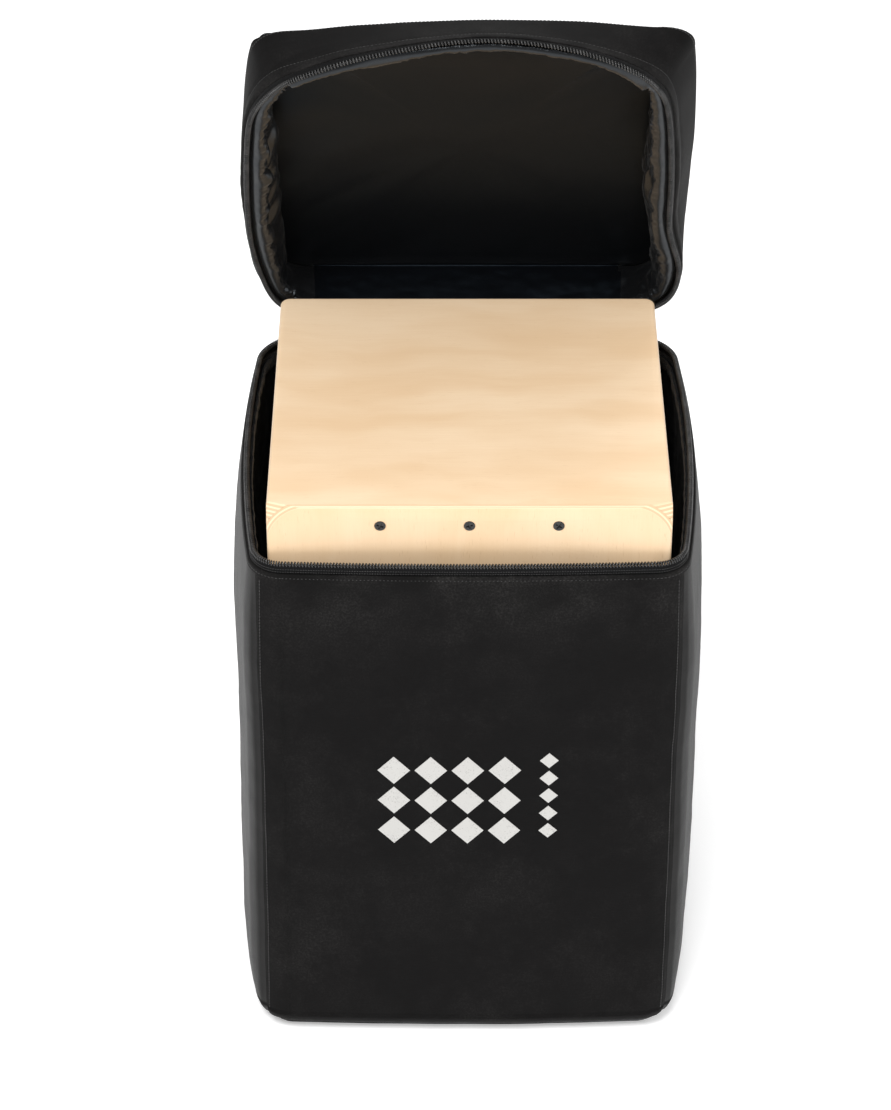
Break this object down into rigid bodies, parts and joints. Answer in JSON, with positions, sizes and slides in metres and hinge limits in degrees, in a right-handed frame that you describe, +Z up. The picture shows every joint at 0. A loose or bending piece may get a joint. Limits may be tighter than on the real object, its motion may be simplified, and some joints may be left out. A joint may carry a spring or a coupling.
{
  "type": "cajon with carry bag",
  "caption": "Plywood box drum with a screwed playing board, snares and rubber feet, standing in a padded carry bag whose zipped lid folds open.",
  "frame": {"origin": "middle of the bag's underside", "axes": "+Z up, -Y towards the playing board and the bag's printed front, +X to the right as seen from the front"},
  "size_m": [0.352, 0.3958, 0.7983],
  "materials": {
    "birch": "satin clear lacquer on pale birch plywood",
    "batten_wood": "sawn, unfinished",
    "black_screw": "black oxide, semi gloss",
    "snare_steel": "bright drawn wire",
    "foot_rubber": "matt",
    "bag_nylon": "charcoal coated weave, matt",
    "lining_cloth": "black lining, slight sheen",
    "zip_plastic": "black nylon coil and moulded buckles",
    "webbing": "black woven webbing",
    "slider_metal": "black painted die casting"
  },
  "bodies": {
    "bag": {"bag_front_panel": "bag_nylon", "bag_right_panel": "bag_nylon", "bag_back_panel": "bag_nylon", "bag_left_panel": "bag_nylon", "bag_base_panel": "bag_nylon", "bag_lining": "lining_cloth", "bag_rim_binding": "lining_cloth", "bag_zip_tape": "zip_plastic", "bag_zip_coil": "zip_plastic", "lid_hinge_strip": "bag_nylon", "shoulder_pad_left": "bag_nylon", "shoulder_pad_right": "bag_nylon", "strap_webbing_left": "webbing", "strap_webbing_right": "webbing", "strap_buckle_left": "zip_plastic", "strap_buckle_right": "zip_plastic", "grab_handle": "webbing"},
    "lid": {"lid_top_panel": "bag_nylon", "lid_side_band": "bag_nylon", "lid_lining": "lining_cloth", "lid_rim_binding": "lining_cloth", "lid_zip_tape": "zip_plastic", "lid_zip_coil": "zip_plastic"},
    "drum": {"seat_panel": "birch", "bottom_panel": "birch", "left_side_panel": "birch", "right_side_panel": "birch", "back_panel": "birch", "tapa_playing_board": "birch", "top_batten": "batten_wood", "bottom_batten": "batten_wood", "left_batten": "batten_wood", "right_batten": "batten_wood", "tapa_screw_top_1": "black_screw", "tapa_screw_top_2": "black_screw", "tapa_screw_top_3": "black_screw", "tapa_screw_bottom_1": "black_screw", "tapa_screw_bottom_2": "black_screw", "tapa_screw_bottom_3": "black_screw", "tapa_screw_left_1": "black_screw", "tapa_screw_left_2": "black_screw", "tapa_screw_left_3": "black_screw", "tapa_screw_right_1": "black_screw", "tapa_screw_right_2": "black_screw", "tapa_screw_right_3": "black_screw", "snare_bar": "batten_wood", "snare_wires_left": "snare_steel", "snare_wires_right": "snare_steel", "foot_front_left": "foot_rubber", "foot_front_right": "foot_rubber", "foot_rear_left": "foot_rubber", "foot_rear_right": "foot_rubber", "foot_screw_front_left": "black_screw", "foot_screw_front_right": "black_screw", "foot_screw_rear_left": "black_screw", "foot_screw_rear_right": "black_screw"},
    "slider_left": {"zip_slider_left": "slider_metal"},
    "slider_right": {"zip_slider_right": "slider_metal"},
    "pull_left": {"zip_pull_left": "slider_metal"},
    "pull_right": {"zip_pull_right": "slider_metal"}
  },
  "joints": [
    {"name": "lid_fold", "type": "hinge", "parent": "bag", "child": "lid", "pos_m": [0, 0.16725, 0.4635], "axis": [-1, 0, 0], "range_deg": [-66, 104]},
    {"name": "drum_lift", "type": "slide", "parent": "bag", "child": "drum", "axis": [0, 0, 1], "range_m": [0, 0.12]},
    {"name": "slider_left_run", "type": "slide", "parent": "bag", "child": "slider_left", "axis": [-1, 0, 0], "range_m": [0, 0.006]},
    {"name": "slider_right_run", "type": "slide", "parent": "bag", "child": "slider_right", "axis": [1, 0, 0], "range_m": [0, 0.006]},
    {"name": "pull_left_swing", "type": "hinge", "parent": "slider_left", "child": "pull_left", "pos_m": [-0.1082, 0.16575, 0.4635], "axis": [0, 0, 1], "range_deg": [0, 90]},
    {"name": "pull_right_swing", "type": "hinge", "parent": "slider_right", "child": "pull_right", "pos_m": [0.1082, 0.16575, 0.4635], "axis": [0, 0, -1], "range_deg": [0, 90]}
  ]
}
